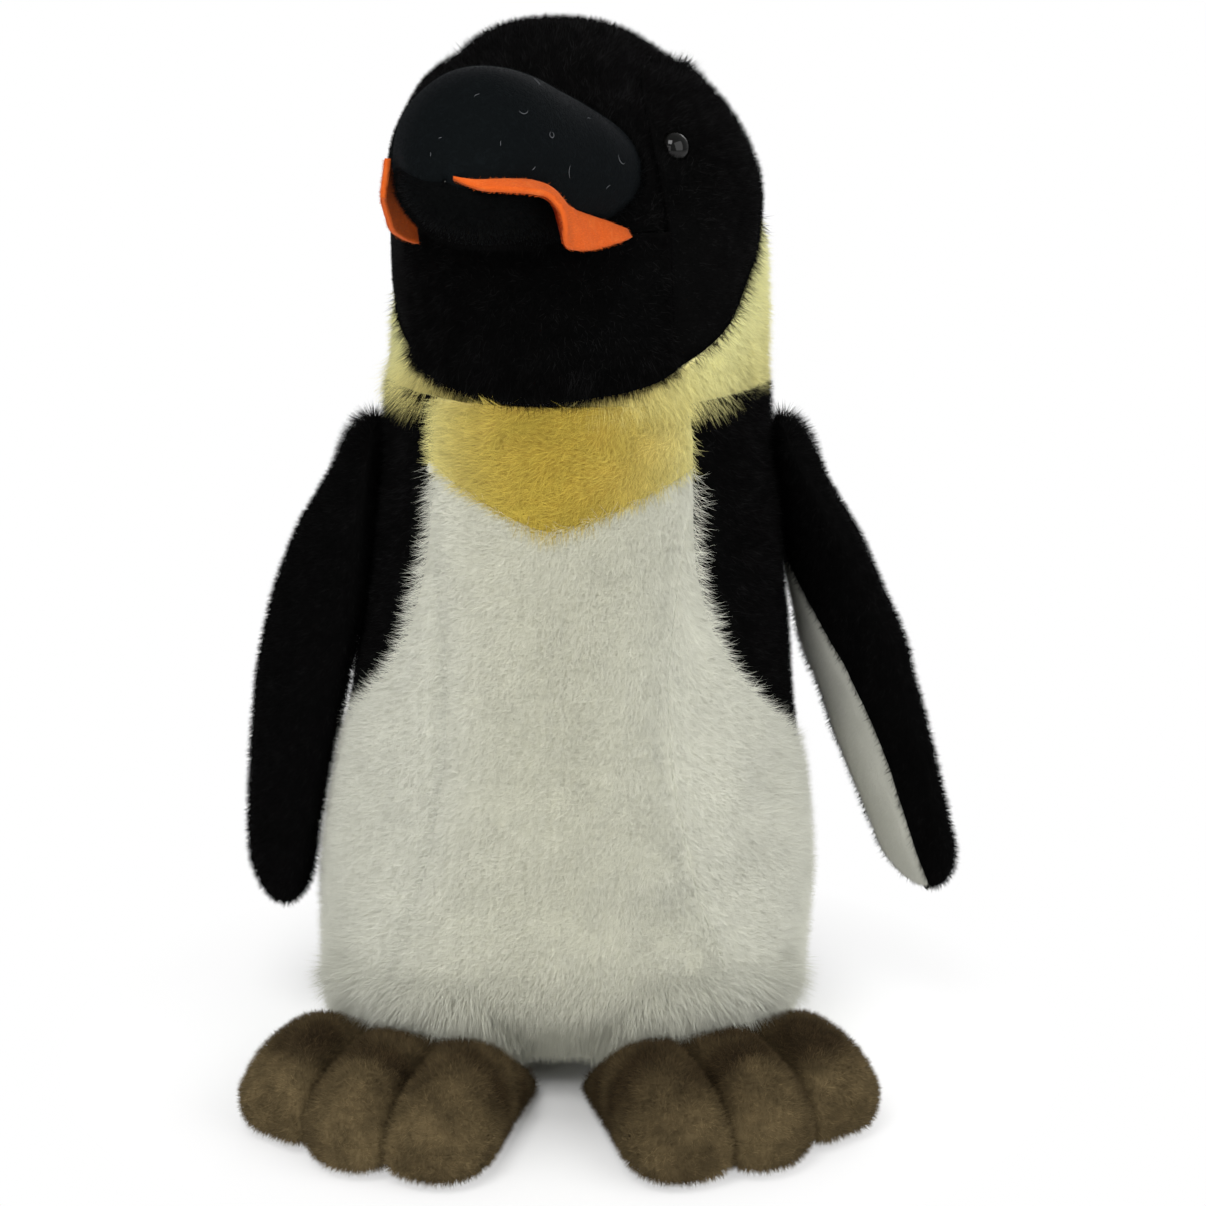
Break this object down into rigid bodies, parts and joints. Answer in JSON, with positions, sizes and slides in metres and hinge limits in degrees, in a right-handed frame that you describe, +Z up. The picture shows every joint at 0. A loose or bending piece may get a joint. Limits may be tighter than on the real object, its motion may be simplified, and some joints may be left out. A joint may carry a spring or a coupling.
{
  "type": "plush penguin",
  "caption": "Standing stuffed penguin toy with a turned head, fat arched beak, hanging flippers, three-toed feet and a small tail, sewn from plush panels over fibre filling.",
  "frame": {"origin": "middle of the flat base panel, on the floor", "axes": "+Z up, the chest faces -Y, the toy's own left is +X"},
  "size_m": [0.2076, 0.2058, 0.2984],
  "materials": {
    "white_plush": "long-pile white plush, combed downwards",
    "yellow_plush": "long-pile yellow plush, paler towards its edges",
    "black_plush": "medium-pile black plush",
    "black_short_plush": "short-pile black plush",
    "lining": "white short-pile velour",
    "beak_velour": "very short blue-black velour",
    "felt": "orange felt",
    "foot_plush": "short olive-brown plush",
    "eye": "polished black plastic",
    "washer": "white moulded plastic",
    "fibre": "loose polyester fibre filling"
  },
  "bodies": {
    "trunk": {"belly_panel": "white_plush", "bib_panel": "yellow_plush", "base_panel": "white_plush", "trunk_stuffing": "fibre", "belly_side_left": "white_plush", "belly_side_right": "white_plush", "back_panel_left": "black_plush", "back_panel_right": "black_plush"},
    "head": {"chin_panel": "black_plush", "crown_gusset": "black_plush", "head_stuffing": "fibre", "beak_upper": "beak_velour", "beak_lower": "beak_velour", "beak_stuffing": "fibre", "head_side_left": "black_plush", "head_side_right": "black_plush", "cheek_patch_left": "yellow_plush", "cheek_patch_right": "yellow_plush", "beak_stripe_left": "felt", "beak_stripe_right": "felt", "eye_left": "eye", "eye_right": "eye", "eye_washer_left": "washer", "eye_washer_right": "washer"},
    "tail": {"tail_top": "black_short_plush", "tail_underside": "black_short_plush", "tail_stuffing": "fibre"},
    "flipper_left": {"flipper_outer_left": "black_short_plush", "flipper_lining_left": "lining", "flipper_stuffing_left": "fibre"},
    "foot_left": {"foot_upper_left": "foot_plush", "foot_sole_left": "foot_plush", "foot_stuffing_left": "fibre"},
    "flipper_right": {"flipper_outer_right": "black_short_plush", "flipper_lining_right": "lining", "flipper_stuffing_right": "fibre"},
    "foot_right": {"foot_upper_right": "foot_plush", "foot_sole_right": "foot_plush", "foot_stuffing_right": "fibre"}
  },
  "joints": [
    {"name": "neck_turn", "type": "hinge", "parent": "trunk", "child": "head", "pos_m": [0.006, 0, 0.2], "axis": [0, 0, 1], "range_deg": [-20, 20], "stiffness_Nm_per_rad": 0.3},
    {"name": "flipper_left_raise", "type": "hinge", "parent": "trunk", "child": "flipper_left", "pos_m": [0.06371, 0, 0.183], "axis": [0, -1, 0], "range_deg": [-4, 70], "stiffness_Nm_per_rad": 0.08},
    {"name": "flipper_right_raise", "type": "hinge", "parent": "trunk", "child": "flipper_right", "pos_m": [-0.05273, 0, 0.183], "axis": [0, 1, 0], "range_deg": [-1, 75], "stiffness_Nm_per_rad": 0.08},
    {"name": "foot_left_flex", "type": "hinge", "parent": "trunk", "child": "foot_left", "pos_m": [0.035, -0.03681, 0.009], "axis": [0.9272, 0.3746, 0], "range_deg": [-8, 25], "stiffness_Nm_per_rad": 0.12},
    {"name": "foot_right_flex", "type": "hinge", "parent": "trunk", "child": "foot_right", "pos_m": [-0.035, -0.03681, 0.009], "axis": [0.9336, -0.3584, 0], "range_deg": [-8, 25], "stiffness_Nm_per_rad": 0.12},
    {"name": "tail_lift", "type": "hinge", "parent": "trunk", "child": "tail", "pos_m": [0.00078, 0.06268, 0.026], "axis": [1, 0, 0], "range_deg": [-8, 35], "stiffness_Nm_per_rad": 0.04}
  ]
}
